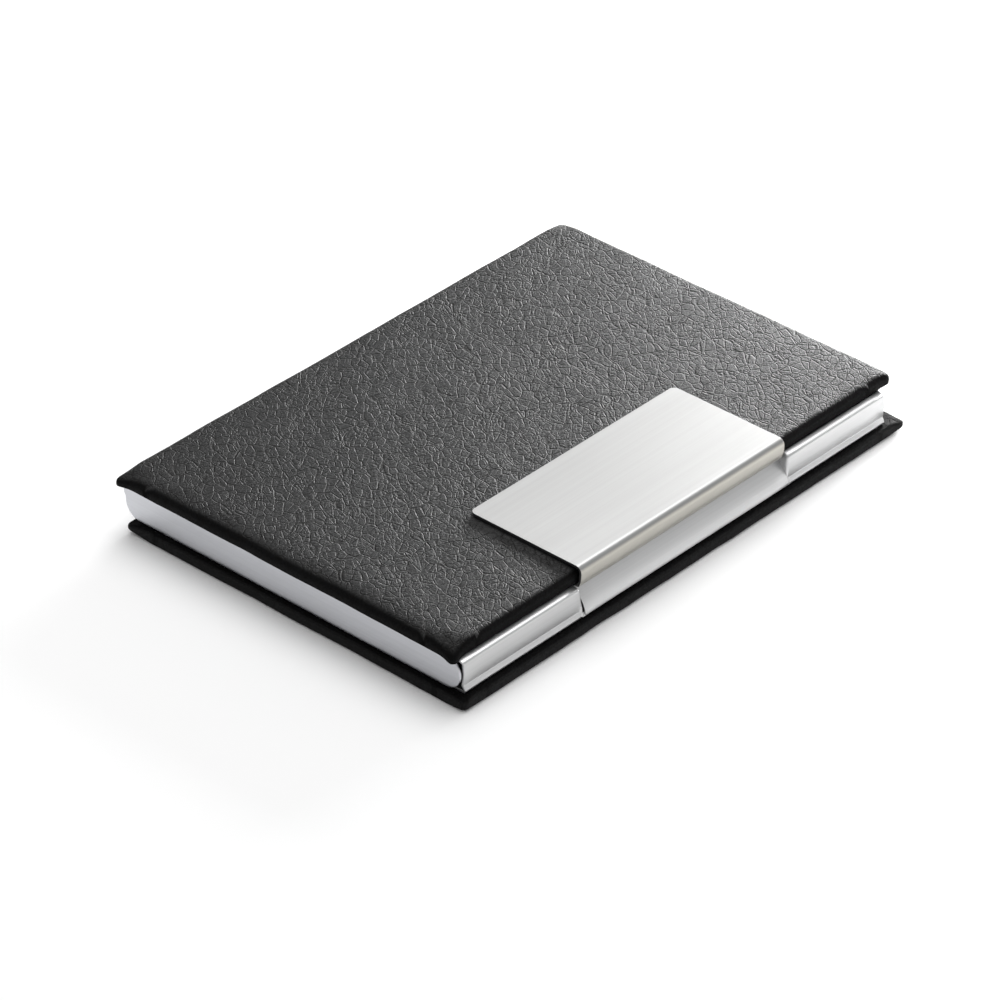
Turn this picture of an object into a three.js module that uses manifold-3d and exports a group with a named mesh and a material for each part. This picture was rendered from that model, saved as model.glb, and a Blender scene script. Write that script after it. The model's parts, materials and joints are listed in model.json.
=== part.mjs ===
// A pocket case for business cards: two leather-covered boards bonded to a thin steel box.
// The base carries the floor, the S-curved front wall and the rear wall.
// The lid carries the roof and the two short side walls, and swings on a rolled hinge along the rear edge.
// A folded nameplate grips the lid's front edge.
//
// Millimetres, +Z up, +X along the front edge to the right, -Y is the front.
// The origin is the middle of the underside.

import * as THREE from 'three';
import { mergeVertices } from 'three/addons/utils/BufferGeometryUtils.js';
import Module from 'manifold-3d';

const wasm = await Module();
wasm.setup();

// ---------------------------------------------------------------- driving dimensions

// Layers of the two covers
const leather = 0.43; // covering
const board = 1.0; // stiff board
const foam = 0.42; // soft layer under the lid's covering
const turnIn = 7.0; // border of covering folded over the board's inner face
const film = 0.02; // glue line between two bonded faces
const boardInset = 0.17; // board's edge in from the inside of the covering
const boardCorner = 2.5; // the board leaves the covering's pointed corners empty
const recessGap = 0.2; // bond sheet's edge in from the turned-in border

// Base cover
const baseLength = 95.6;
const baseWidth = 64.7;
const baseCorner = 1.0; // corner radius in plan
const baseEdge = 0.4; // rounding of the lower edge
const baseRim = 0.5; // rounding of the upper edge

// Lid cover
const lidLength = baseLength - 0.8; // a little shorter than the base cover
const lidWidth = baseWidth - 0.5;
const lidCorner = 1.2;
const lidEdge = 1.2; // soft rounding of the upper edge
const lidRim = 0.25; // rounding of the lower edge
const lidSetback = 2.2; // the lid cover's middle line sits this far behind the base cover's

// Steel box
const sheet = 0.4; // steel thickness
const boxLength = baseLength - 3.5; // over the lid's side walls, with a border of cover beyond them
const boxShift = -0.85; // middle of the box from the middle of the covers
const clearHeight = 4.36; // between floor and roof
const slideGap = 0.15; // between the side walls and what they swing past
const restGap = 0.03; // between the closed lid and the top of the front wall
const lap = 2 * sheet; // a bent run's stretch within the flat sheet it grows from

// Front wall, measured from its foot at the height of the floor's middle surface
const wallSetback = 1.05; // foot from the base cover's front edge
const creaseIn = 0.5;
const creaseUp = 0.94;
const bulgeIn = 0.36;
const bulgeUp = 2.53;
const shoulderIn = 0.54;
const shoulderDrop = 0.82; // below the top of the wall
const rollIn = 0.87;
const rollDrop = 0.19; // below the top of the wall
const lipIn = 1.75;

// Finger tongue, standing in a slot cut into the front wall
const slotWidth = 45.9;
const tongueWidth = 44.2;
const tongueShift = 0.4; // middle of the tongue from the middle of the slot
const tongueRise = 3.94; // height over the foot
const tongueLean = 2.24; // how far its top leans in
const tongueCurve = 1.7; // exponent of the lean
const slotFoot = 0.35; // the slot stops this far above the foot

// Side walls
const flapGap = 0.15; // lower edge above the base cover
const flapFrontRadius = 2.6;
const flapFrontReach = 0.95; // ahead of the lid cover's front edge
const flapBackRadius = 2.7;
const flapBackInset = 0.75; // from the lid cover's back edge

// Hinge
const pinRadius = 0.8;
const pinPlay = 0.06; // radial clearance of the pin in its knuckles
const barrelInset = 0.02; // barrel in from the lid cover's back edge
const knuckleCount = 5;
const knuckleGap = 0.25;
const pinEndGap = 0.3; // pin end to side wall
const baseCurlTurn = 1.64 * Math.PI; // how far the base's knuckles curl round the pin
const lidCurlTurn = 1.55 * Math.PI;

// Nameplate
const plateSheet = 0.4;
const plateWidth = 44.0;
const plateDepth = 20.9; // front to back
const platePad = 0.12; // thickness of its adhesive pad
const platePadInset = 1.4;
const plateStandOff = 0.5; // clear of the lid cover's front edge
const plateBend = 1.1; // radius of the front bend's middle surface
const plateTuck = 0.35; // the lip's foot is this far behind its front
const plateReturn = 1.75; // leg folded under the lid
const plateReturnGap = 0.15; // below the lid cover
const roofFrontGap = 0.8; // roof behind the end of that leg
const plateCorner = 1.0;

// Card rails
const railSheet = 0.25;
const railFoot = 3.0;
const railTopGap = 0.36; // below the roof
const railEndGap = 0.7; // from the rear wall
const railFrontInset = 3.5; // from the front wall's foot

// Magnets and their clips
const magnetLength = 10.0;
const magnetDepth = 1.4;
const magnetHeight = 3.0;
const magnetSpan = 68.0; // middle to middle
const magnetPlay = 0.08;
const magnetSetback = 0.16; // from the crease of the front wall
const clipSheet = 0.25;
const clipOverlap = 1.0; // clip longer than the magnet at each end
const clipFoot = 2.4;

// Facets
const cornerSteps = 6;
const edgeSteps = 4;
const bendSteps = 5;
const wallSteps = 20;
const tongueSteps = 10;
const pinSides = 28;
const barrelStep = Math.PI / 15;
const flapStep = Math.PI / 20;
const plateStep = Math.PI / 14;
const weld = 1e-4; // vertices this close are one
const sharpest = 0.2; // least corner radius of an inset loop

// ---------------------------------------------------------------- levels and lines worked out from them

const baseThickness = 2 * leather + board + 2 * film;
const floorLow = baseThickness + film;
const floorTop = floorLow + sheet;
const floorMid = floorLow + sheet / 2;
const roofLow = floorTop + clearHeight;
const roofTop = roofLow + sheet;
const lidUnderside = roofTop + film;
const lidThickness = 2 * leather + board + foam + 3 * film;
const lidTop = lidUnderside + lidThickness;

const baseFront = -baseWidth / 2;
const lidMiddle = lidSetback;
const lidFront = lidMiddle - lidWidth / 2;
const lidBack = lidMiddle + lidWidth / 2;

const boxHalf = boxLength / 2;
const flapInner = boxHalf - sheet;
const wallHalf = flapInner - slideGap;

const wallFoot = baseFront + wallSetback;
const wallTop = lidUnderside - restGap - sheet / 2; // of the wall's middle surface

const boreRadius = pinRadius + pinPlay;
const curlRadius = boreRadius + sheet / 2;
const barrelRadius = boreRadius + sheet;
const pivotY = lidBack - barrelInset - barrelRadius;
const pivotZ = roofTop - barrelRadius;
const rearWallMid = pivotY - curlRadius;
const rearWallInner = rearWallMid - sheet / 2;

const plateLow = lidTop + platePad + 2 * film;
const plateFront = lidFront - plateStandOff - plateSheet / 2; // middle surface of the lip
const plateBack = plateFront - plateSheet / 2 + plateDepth;

// ---------------------------------------------------------------- solids

// A closed geometry becomes a solid that can be joined and cut.
function solid(geometry) {
  const bare = geometry.clone();
  bare.deleteAttribute('normal');
  bare.deleteAttribute('uv');
  const merged = mergeVertices(bare, weld);
  return new wasm.Manifold(new wasm.Mesh({
    numProp: 3,
    vertProperties: new Float32Array(merged.attributes.position.array),
    triVerts: new Uint32Array(merged.index.array),
  }));
}

function geometryOf(manifold) {
  const { vertProperties, triVerts } = manifold.getMesh();
  const geometry = new THREE.BufferGeometry();
  geometry.setAttribute('position', new THREE.BufferAttribute(new Float32Array(vertProperties), 3));
  geometry.setIndex(new THREE.BufferAttribute(new Uint32Array(triVerts), 1));
  geometry.computeVertexNormals();
  return geometry;
}

function joined(solids) {
  return solids.reduce((whole, next) => whole.add(next));
}

// Extrudes a section drawn in Y and Z along X.
const sectionToWorld = new THREE.Matrix4().makeBasis(
  new THREE.Vector3(0, 1, 0),
  new THREE.Vector3(0, 0, 1),
  new THREE.Vector3(1, 0, 0),
);

function alongX(shape, from, to) {
  const geometry = new THREE.ExtrudeGeometry(shape, { depth: to - from, bevelEnabled: false });
  geometry.applyMatrix4(sectionToWorld);
  geometry.translate(from, 0, 0);
  return solid(geometry);
}

// A block between two corners.
function block(low, high) {
  const geometry = new THREE.BoxGeometry(high[0] - low[0], high[1] - low[1], high[2] - low[2]);
  geometry.translate((low[0] + high[0]) / 2, (low[1] + high[1]) / 2, (low[2] + high[2]) / 2);
  return solid(geometry);
}

// The outline of a bent sheet of the given thickness around its middle line.
function bentSheet(middle, thickness) {
  const outer = [];
  const inner = [];
  middle.forEach((point, i) => {
    const before = middle[Math.max(i - 1, 0)];
    const after = middle[Math.min(i + 1, middle.length - 1)];
    const first = i > 0 ? point.clone().sub(before).normalize() : after.clone().sub(point).normalize();
    const second = i < middle.length - 1 ? after.clone().sub(point).normalize() : first.clone();
    const bisector = first.clone().add(second).normalize();
    const reach = thickness / 2 / bisector.dot(first);
    const side = new THREE.Vector2(-bisector.y, bisector.x).multiplyScalar(reach);
    outer.push(point.clone().add(side));
    inner.push(point.clone().sub(side));
  });
  return new THREE.Shape(outer.concat(inner.reverse()));
}

function at(y, z) {
  return new THREE.Vector2(y, z);
}

// Points of an arc, its ends included.
function arc(centre, radius, startAngle, endAngle, step) {
  const count = Math.max(1, Math.ceil(Math.abs(endAngle - startAngle) / step));
  const points = [];
  for (let i = 0; i <= count; i += 1) {
    const angle = startAngle + ((endAngle - startAngle) * i) / count;
    points.push(at(centre.x + radius * Math.cos(angle), centre.y + radius * Math.sin(angle)));
  }
  return points;
}

// One loop of a rounded rectangle, inset from the full size.
function roundedLoop(cover, inset, z) {
  const halfX = cover.length / 2 - inset;
  const halfY = cover.width / 2 - inset;
  const radius = Math.max(cover.corner - inset, sharpest);
  const loop = [];
  for (let corner = 0; corner < 4; corner += 1) {
    const signX = corner === 0 || corner === 3 ? 1 : -1;
    const signY = corner < 2 ? 1 : -1;
    for (let i = 0; i <= cornerSteps; i += 1) {
      const angle = (Math.PI / 2) * (corner + i / cornerSteps);
      loop.push([
        signX * (halfX - radius) + radius * Math.cos(angle),
        cover.middle + signY * (halfY - radius) + radius * Math.sin(angle),
        z,
      ]);
    }
  }
  return loop;
}

// A closed solid through a stack of loops, with a flat cap on the first and the last.
function loft(loops) {
  const count = loops[0].length;
  const positions = loops.flat(2);
  const indices = [];
  for (let ring = 0; ring + 1 < loops.length; ring += 1) {
    for (let i = 0; i < count; i += 1) {
      const next = (i + 1) % count;
      const low = ring * count;
      const high = low + count;
      indices.push(low + i, low + next, high + next);
      indices.push(low + i, high + next, high + i);
    }
  }
  const last = (loops.length - 1) * count;
  for (let i = 1; i + 1 < count; i += 1) {
    indices.push(0, i + 1, i);
    indices.push(last, last + i, last + i + 1);
  }
  const rising = loops[loops.length - 1][0][2] > loops[0][0][2];
  if (!rising) {
    indices.reverse();
  }
  const geometry = new THREE.BufferGeometry();
  geometry.setAttribute('position', new THREE.BufferAttribute(new Float32Array(positions), 3));
  geometry.setIndex(indices);
  return solid(geometry);
}

// ---------------------------------------------------------------- covers

// A cover's outer face is at z = face, and it builds up towards `up` (1 or -1).
const baseCover = {
  length: baseLength,
  width: baseWidth,
  corner: baseCorner,
  middle: 0,
  face: 0,
  up: 1,
  edge: baseEdge,
  rim: baseRim,
  thickness: baseThickness,
};
const lidCover = {
  length: lidLength,
  width: lidWidth,
  corner: lidCorner,
  middle: lidMiddle,
  face: lidTop,
  up: -1,
  edge: lidEdge,
  rim: lidRim,
  thickness: lidThickness,
};

function coverLoop(cover, inset, depth) {
  return roundedLoop(cover, inset, cover.face + cover.up * depth);
}

// The covering: out from the face, round the edge, in along the turned-in border, and back inside.
function coverSkin(cover) {
  const { edge, rim, thickness } = cover;
  const loops = [];
  for (let i = 0; i <= edgeSteps; i += 1) {
    const angle = (Math.PI / 2) * (i / edgeSteps);
    loops.push(coverLoop(cover, edge - edge * Math.sin(angle), edge - edge * Math.cos(angle)));
  }
  for (let i = 0; i <= edgeSteps; i += 1) {
    const angle = (Math.PI / 2) * (i / edgeSteps);
    loops.push(coverLoop(cover, rim - rim * Math.cos(angle), thickness - rim + rim * Math.sin(angle)));
  }
  loops.push(coverLoop(cover, turnIn, thickness));
  loops.push(coverLoop(cover, turnIn, thickness - leather));
  loops.push(coverLoop(cover, leather, thickness - leather));
  const hollow = Math.max(edge - leather, film);
  const centre = leather + hollow;
  for (let i = edgeSteps; i >= 0; i -= 1) {
    const angle = (Math.PI / 2) * (i / edgeSteps);
    loops.push(coverLoop(cover, centre - hollow * Math.sin(angle), centre - hollow * Math.cos(angle)));
  }
  return loft(loops);
}

// The board and the soft layer have rounder corners than the covering.
const paddedInset = leather + boardInset;

function rounder(cover) {
  return { ...cover, corner: boardCorner + paddedInset };
}

function coverBoard(cover) {
  const cut = rounder(cover);
  const inner = cover.thickness - leather - film;
  return loft([coverLoop(cut, paddedInset, inner - board), coverLoop(cut, paddedInset, inner)]);
}

// Fills the recess inside the turned-in border.
function bondSheet(cover) {
  const inset = turnIn + recessGap;
  const top = cover.thickness;
  return loft([coverLoop(cover, inset, top - leather), coverLoop(cover, inset, top)]);
}

// The lid's soft layer follows the inside of the rounded edge.
function lidFoam() {
  const hollow = lidEdge - leather - film;
  const loops = [];
  for (let i = 0; i <= edgeSteps; i += 1) {
    const depth = leather + film + foam * (i / edgeSteps);
    const rise = Math.min(lidEdge - depth, hollow);
    loops.push(coverLoop(rounder(lidCover), lidEdge - Math.sqrt(hollow * hollow - rise * rise), depth));
  }
  return loft(loops);
}

// ---------------------------------------------------------------- hinge

const hingeStart = -flapInner;
const knucklePitch = (2 * flapInner + knuckleGap) / knuckleCount;

// Even knuckles belong to the lid, odd ones to the base.
function knuckleSpan(index) {
  const from = boxShift + hingeStart + index * knucklePitch;
  return [from, from + knucklePitch - knuckleGap];
}

function knucklesOf(remainder) {
  const spans = [];
  for (let i = remainder; i < knuckleCount; i += 2) {
    spans.push(knuckleSpan(i));
  }
  return spans;
}

const pivot = at(pivotY, pivotZ);

// The base's knuckle: the rear wall runs up and curls back over the pin.
function baseKnuckle([from, to]) {
  const middle = [
    at(rearWallMid, floorMid),
    ...arc(pivot, curlRadius, Math.PI, Math.PI - baseCurlTurn, barrelStep),
  ];
  return alongX(bentSheet(middle, sheet), from, to);
}

// The lid's knuckle: the roof runs back and curls down round the pin.
function lidKnuckle([from, to]) {
  const middle = [
    at(rearWallMid - 2 * lap, roofLow + sheet / 2),
    ...arc(pivot, curlRadius, Math.PI / 2, Math.PI / 2 - lidCurlTurn, barrelStep),
  ];
  return alongX(bentSheet(middle, sheet), from, to);
}

function hingePin() {
  const length = 2 * (flapInner - pinEndGap);
  const geometry = new THREE.CylinderGeometry(pinRadius, pinRadius, length, pinSides);
  geometry.rotateZ(Math.PI / 2);
  geometry.translate(boxShift, pivotY, pivotZ);
  return solid(geometry);
}

// ---------------------------------------------------------------- steel of the base

const foot = at(wallFoot, floorMid);

// The flange leans in from the floor to the crease.
function flangeLine() {
  return [at(wallFoot + lap, floorMid), foot, at(wallFoot + creaseIn, floorMid + creaseUp)];
}

// Above the crease the wall swells out, draws in and rolls over at the top.
function wallLine() {
  const curve = new THREE.SplineCurve([
    at(wallFoot + creaseIn, floorMid + creaseUp),
    at(wallFoot + bulgeIn, floorMid + bulgeUp),
    at(wallFoot + shoulderIn, wallTop - shoulderDrop),
    at(wallFoot + rollIn, wallTop - rollDrop),
    at(wallFoot + lipIn, wallTop),
  ]);
  return flangeLine().concat(curve.getPoints(wallSteps).slice(1));
}

// The tongue leans in more and more towards its top.
function tongueLine() {
  const line = [at(wallFoot + lap, floorMid), foot];
  for (let i = 1; i <= tongueSteps; i += 1) {
    const share = i / tongueSteps;
    line.push(at(wallFoot + tongueLean * share ** tongueCurve, floorMid + tongueRise * share));
  }
  return line;
}

// The strip that stays whole below the slot.
function stripLine() {
  return [
    at(wallFoot + lap, floorMid),
    foot,
    at(wallFoot + creaseIn * (slotFoot / creaseUp), floorMid + slotFoot),
  ];
}

function baseShell() {
  const left = boxShift - wallHalf;
  const right = boxShift + wallHalf;
  const tongueLeft = tongueShift - tongueWidth / 2;
  const tongueRight = tongueShift + tongueWidth / 2;
  const wall = bentSheet(wallLine(), sheet);
  const rearStub = pivotZ - barrelRadius - slideGap;
  const pieces = [
    block([left, wallFoot + sheet, floorLow], [right, rearWallMid + sheet / 2, floorTop]),
    alongX(bentSheet(stripLine(), sheet), left, right),
    alongX(wall, left, -slotWidth / 2),
    alongX(wall, slotWidth / 2, right),
    alongX(bentSheet(tongueLine(), sheet), tongueLeft, tongueRight),
    block([left, rearWallInner, floorLow], [right, rearWallInner + sheet, rearStub]),
    ...knucklesOf(1).map(baseKnuckle),
  ];
  return joined(pieces);
}

// ---------------------------------------------------------------- steel of the lid

// A side wall: round at the front, with a rounded lower corner at the back.
function flapOutline() {
  const low = baseThickness + flapGap;
  const frontCentre = at(lidFront - flapFrontReach + flapFrontRadius, low + flapFrontRadius);
  const back = lidBack - flapBackInset;
  const backCentre = at(back - flapBackRadius, low + flapBackRadius);
  const topAngle = Math.PI - Math.asin(Math.min(1, (roofTop - frontCentre.y) / flapFrontRadius));
  return new THREE.Shape([
    at(back, roofTop),
    ...arc(frontCentre, flapFrontRadius, topAngle, 1.5 * Math.PI, flapStep),
    ...arc(backCentre, flapBackRadius, -Math.PI / 2, 0, flapStep),
  ]);
}

function lidShell() {
  const left = boxShift - boxHalf;
  const right = boxShift + boxHalf;
  const roofFront = plateFront + plateReturn + roofFrontGap;
  const roofBack = rearWallInner - 2 * slideGap;
  const flap = flapOutline();
  const pieces = [
    block([left, roofFront, roofLow], [right, roofBack, roofTop]),
    alongX(flap, left, left + sheet),
    alongX(flap, right - sheet, right),
    ...knucklesOf(0).map(lidKnuckle),
  ];
  return joined(pieces);
}

// ---------------------------------------------------------------- nameplate

function nameplate() {
  const middleZ = plateLow + plateSheet / 2;
  const legZ = lidUnderside - plateReturnGap - plateSheet / 2;
  const lip = new THREE.QuadraticBezierCurve(
    at(plateFront, middleZ - plateBend),
    at(plateFront, legZ + plateBend),
    at(plateFront + plateTuck, legZ + plateSheet / 2),
  );
  const middle = [
    at(plateBack, middleZ),
    ...arc(at(plateFront + plateBend, middleZ - plateBend), plateBend, Math.PI / 2, Math.PI, plateStep),
    ...lip.getPoints(bendSteps).slice(1),
    at(plateFront + plateTuck + plateSheet / 2, legZ),
    at(plateFront + plateReturn, legZ),
  ];
  const bent = alongX(bentSheet(middle, plateSheet), -plateWidth / 2, plateWidth / 2);
  const outline = {
    length: plateWidth,
    width: 2 * plateDepth,
    corner: plateCorner,
    middle: plateBack - plateDepth,
  };
  return bent.intersect(loft([roundedLoop(outline, 0, 0), roundedLoop(outline, 0, 2 * lidTop)]));
}

function nameplatePad() {
  const halfX = plateWidth / 2 - platePadInset;
  const low = lidTop + film;
  return block(
    [-halfX, lidFront + lidEdge, low],
    [halfX, plateBack - platePadInset, low + platePad],
  );
}

// ---------------------------------------------------------------- card rails, magnets and clips

// An angle on the floor at each end, its foot under the cards. side is -1 on the left and 1 on the right.
function cardRail(side) {
  const outer = boxShift + side * wallHalf;
  const inner = outer - side * railSheet;
  const toe = outer - side * railFoot;
  const front = wallFoot + railFrontInset;
  const back = rearWallInner - railEndGap;
  const low = floorTop + film;
  const upright = block(
    [Math.min(outer, inner), front, low],
    [Math.max(outer, inner), back, roofLow - railTopGap],
  );
  const footStrip = block(
    [Math.min(outer, toe), front, low],
    [Math.max(outer, toe), back, low + railSheet],
  );
  return upright.add(footStrip);
}

const magnetFront = wallFoot + creaseIn + sheet / 2 + magnetSetback;

function magnet(side) {
  const middle = boxShift + (side * magnetSpan) / 2;
  const low = floorTop + film;
  return block(
    [middle - magnetLength / 2, magnetFront, low],
    [middle + magnetLength / 2, magnetFront + magnetDepth, low + magnetHeight],
  );
}

// Over the magnet, down its rear face and along the floor.
function magnetClip(side) {
  const middle = boxShift + (side * magnetSpan) / 2;
  const low = floorTop + film + clipSheet / 2;
  const high = floorTop + film + magnetHeight + magnetPlay + clipSheet / 2;
  const back = magnetFront + magnetDepth + magnetPlay + clipSheet / 2;
  const line = [at(magnetFront, high), at(back, high), at(back, low), at(back + clipFoot, low)];
  const half = magnetLength / 2 + clipOverlap;
  return alongX(bentSheet(line, clipSheet), middle - half, middle + half);
}

// ---------------------------------------------------------------- materials and assembly

const blackLeather = { color: 0x2b2b2d, roughness: 0.55, metalness: 0 };
const brushedSteel = { color: 0xd9dadb, roughness: 0.3, metalness: 1 };
const polishedSteel = { color: 0xcfd1d4, roughness: 0.18, metalness: 1 };
const greyBoard = { color: 0x8f8a80, roughness: 0.9, metalness: 0 };
const whiteFoam = { color: 0xe9e7e0, roughness: 1, metalness: 0 };
const adhesive = { color: 0xd8c79a, roughness: 0.7, metalness: 0 };
const nickel = { color: 0xb9bbbe, roughness: 0.25, metalness: 1 };

function part(name, body, look) {
  const mesh = new THREE.Mesh(geometryOf(body), new THREE.MeshStandardMaterial(look));
  mesh.name = name;
  return mesh;
}

const base = new THREE.Group();
base.name = 'base';
base.add(
  part('base_leather', coverSkin(baseCover), blackLeather),
  part('base_board', coverBoard(baseCover), greyBoard),
  part('base_bond_sheet', bondSheet(baseCover), adhesive),
  part('base_shell', baseShell(), polishedSteel),
  part('hinge_pin', hingePin(), polishedSteel),
);
[['left', -1], ['right', 1]].forEach(([name, side]) => {
  base.add(
    part(`card_rail_${name}`, cardRail(side), polishedSteel),
    part(`magnet_${name}`, magnet(side), nickel),
    part(`magnet_clip_${name}`, magnetClip(side), polishedSteel),
  );
});

const lid = new THREE.Group();
lid.name = 'lid';
lid.add(
  part('lid_leather', coverSkin(lidCover), blackLeather),
  part('lid_foam', lidFoam(), whiteFoam),
  part('lid_board', coverBoard(lidCover), greyBoard),
  part('lid_bond_sheet', bondSheet(lidCover), adhesive),
  part('lid_shell', lidShell(), polishedSteel),
  part('nameplate', nameplate(), brushedSteel),
  part('nameplate_tape', nameplatePad(), adhesive),
);

const group = new THREE.Group();
group.name = 'business_card_case';
group.add(base, lid);

export default group;
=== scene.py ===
"""Looks of the business card case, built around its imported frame."""

import json
import math

import bmesh
import bpy
import numpy as np
from mathutils import Matrix, Vector, noise


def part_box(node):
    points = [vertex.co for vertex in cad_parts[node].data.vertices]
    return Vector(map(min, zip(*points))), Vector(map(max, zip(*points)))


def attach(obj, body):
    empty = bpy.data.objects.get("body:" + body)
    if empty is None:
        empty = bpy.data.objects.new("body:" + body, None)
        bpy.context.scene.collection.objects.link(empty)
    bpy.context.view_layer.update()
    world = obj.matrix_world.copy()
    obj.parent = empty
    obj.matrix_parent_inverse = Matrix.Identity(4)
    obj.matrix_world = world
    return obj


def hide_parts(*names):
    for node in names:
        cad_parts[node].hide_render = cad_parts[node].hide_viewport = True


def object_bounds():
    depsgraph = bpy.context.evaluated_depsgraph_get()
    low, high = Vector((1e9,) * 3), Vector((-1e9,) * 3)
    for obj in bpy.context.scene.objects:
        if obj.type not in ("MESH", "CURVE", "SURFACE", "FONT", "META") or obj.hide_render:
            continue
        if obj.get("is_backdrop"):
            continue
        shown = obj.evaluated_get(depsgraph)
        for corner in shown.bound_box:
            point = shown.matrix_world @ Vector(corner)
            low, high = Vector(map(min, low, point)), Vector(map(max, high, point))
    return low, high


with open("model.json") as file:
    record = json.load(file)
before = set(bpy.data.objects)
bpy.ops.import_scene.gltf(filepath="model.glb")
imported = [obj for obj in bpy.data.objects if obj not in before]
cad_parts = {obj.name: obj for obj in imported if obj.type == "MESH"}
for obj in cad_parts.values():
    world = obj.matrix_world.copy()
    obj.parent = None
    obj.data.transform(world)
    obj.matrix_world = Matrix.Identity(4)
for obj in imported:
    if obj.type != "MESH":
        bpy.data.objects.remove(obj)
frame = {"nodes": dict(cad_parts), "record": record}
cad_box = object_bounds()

MM = 0.001

# ------------------------------------------------------------------ sizes in millimetres

LEATHER = 0.43
SHEET = 0.4
BOARD_CORNER = 2.5
PLATE_GRIP = 1.75  # how far the plate's folded end reaches in under the lid's front edge

# the covers: TURN_IN is the width of the turned-in border, an edge is the radius of the outer edge
# and a rim that of the edge beside the steel
TURN_IN = 7.0
LID_EDGE, LID_RIM, LID_CORNER, LID_CROWN = 1.2, 0.25, 1.0, 0.16
BASE_EDGE, BASE_RIM, BASE_CORNER = 0.4, 0.5, 0.9
CROWN_WIDTH = 7.0
FACE_INSET = 6.5  # where the rings round a cover's face begin
FINE_STEP, COARSE_STEP, FINE_WIDTH = 0.35, 0.9, 4.2
SLUMP, SLUMP_WIDTH = 0.38, 3.6
# waves in a cover's face as (size, seed, height), and along its sides with their squash in Z too
FACE_WAVES = ((11, 3, 0.06), (4.5, 4, 0.035))
SIDE_WAVES = ((7, 5, 0.12, 0.2), (2.6, 6, 0.05, 0.6))

# the front wall's section, from its foot: a crease, then knots up to its folded top
FOOT_INSET = 1.05
CREASE = (0.5, 0.94)
WALL_MIDDLE = (0.36, 2.53)
WALL_FOLD = ((0.37, -0.6), (0.53, -0.14), (1.45, 0))

# the slot in it, and the tongue, which leans back by TONGUE_LEAN over its height
SLOT_HALF = 22.95
SLOT_FOOT = 0.35
TONGUE_LEFT, TONGUE_RIGHT = -21.7, 22.5
TONGUE_HEIGHT, TONGUE_LEAN, TONGUE_CURVE = 3.94, 2.24, 1.7
GAP_LEFT, GAP_RIGHT = 0.45, 0.04
# how far across its turn each column at a slot edge stands, and how far it leans from the wall to
# the tongue
SLOT_TURN = ((0.3, 0.06), (0.55, 0.25), (0.78, 0.55), (1.0, 0.92))

ROOF_GAP, WALL_GAP = 0.02, 0.03  # under the lid cover
KNUCKLES = 5
KNUCKLE_GAP = 0.25
PIN_ROOM = 0.06
COLUMN_WIDTH = 3
FLAP_RADIUS, FLAP_BACK_RADIUS, FLAP_INSET = 2.6, 2.7, 0.75
PLATE_BEND = 0.85
PADDING_ROLL = 3.0
# rows of the plate's rounded back corners, as distances from its back edge
PLATE_CORNER_ROWS = (0, 0.02, 0.08, 0.18, 0.32, 0.5, 0.75, 1.0)
PLATE_SHARP = math.radians(20)


def span(node):
    """Lowest and highest corners of a CAD node, in millimetres."""
    low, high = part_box(node)
    return np.array(low) / MM, np.array(high) / MM


# ------------------------------------------------------------------ mesh helpers


def new_object(name, points, faces, material, smooth=True):
    """A mesh object from points in millimetres."""
    mesh = bpy.data.meshes.new(name)
    mesh.from_pydata([tuple(p) for p in np.asarray(points, float) * MM], [], faces)
    mesh.update()
    mesh.materials.append(material)
    for polygon in mesh.polygons:
        polygon.use_smooth = smooth
    obj = bpy.data.objects.new(name, mesh)
    bpy.context.scene.collection.objects.link(obj)
    return obj


def outward(obj):
    """Turns every face of a closed mesh outwards."""
    bm = bmesh.new()
    bm.from_mesh(obj.data)
    bmesh.ops.recalc_face_normals(bm, faces=bm.faces)
    bm.to_mesh(obj.data)
    bm.free()


def bake_modifiers(obj):
    """Applies the object's modifiers to its mesh."""
    graph = bpy.context.evaluated_depsgraph_get()
    mesh = bpy.data.meshes.new_from_object(obj.evaluated_get(graph))
    obj.modifiers.clear()
    obj.data = mesh


def smoothstep(x):
    x = np.clip(x, 0, 1)
    return x * x * (3 - 2 * x)


def ripple(points, size, seed):
    """Smooth noise, one value per point, of waves about `size` millimetres long."""
    shift = Vector((seed * 13.7, seed * 5.1, seed * 9.3))
    return np.array([noise.noise(Vector(p) / size + shift) for p in points])


# ------------------------------------------------------------------ leather covers


def stations(half, fine, coarse, fine_width):
    """Positions from -half to half, closer together within fine_width of both ends."""
    edge = np.arange(0, fine_width, fine)
    middle = half - fine_width
    count = max(2, int(round(2 * middle / coarse)))
    inner = np.linspace(-middle, middle, count + 1)
    return np.concatenate([-half + edge, inner, (half - edge)[::-1]])


def ring_points(xs, ys, inset, radius, half_x, half_y):
    """The border of the grid xs by ys, drawn as a rounded rectangle at that inset."""
    hx, hy = half_x - inset, half_y - inset
    scale_x, scale_y = hx / xs[-1], hy / ys[-1]
    radius = min(max(radius, 0.05), hx, hy)

    def rounded(b, ha, hb):
        """A point on the side at ha, b along it, bent round the corner near its ends."""
        over = (abs(b) - (hb - radius)) / radius
        if over <= 0:
            return ha, b
        angle = over * math.pi / 4
        sign = 1 if b > 0 else -1
        along = hb - radius + radius * math.sin(angle)
        return ha - radius + radius * math.cos(angle), sign * along

    ring = []
    for x in xs[:-1]:
        b, a = rounded(x * scale_x, hy, hx)
        ring.append((a, -b))
    for y in ys[:-1]:
        a, b = rounded(y * scale_y, hx, hy)
        ring.append((a, b))
    for x in xs[:0:-1]:
        b, a = rounded(x * scale_x, hy, hx)
        ring.append((a, b))
    for y in ys[:0:-1]:
        a, b = rounded(y * scale_y, hx, hy)
        ring.append((-a, b))
    return ring


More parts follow.
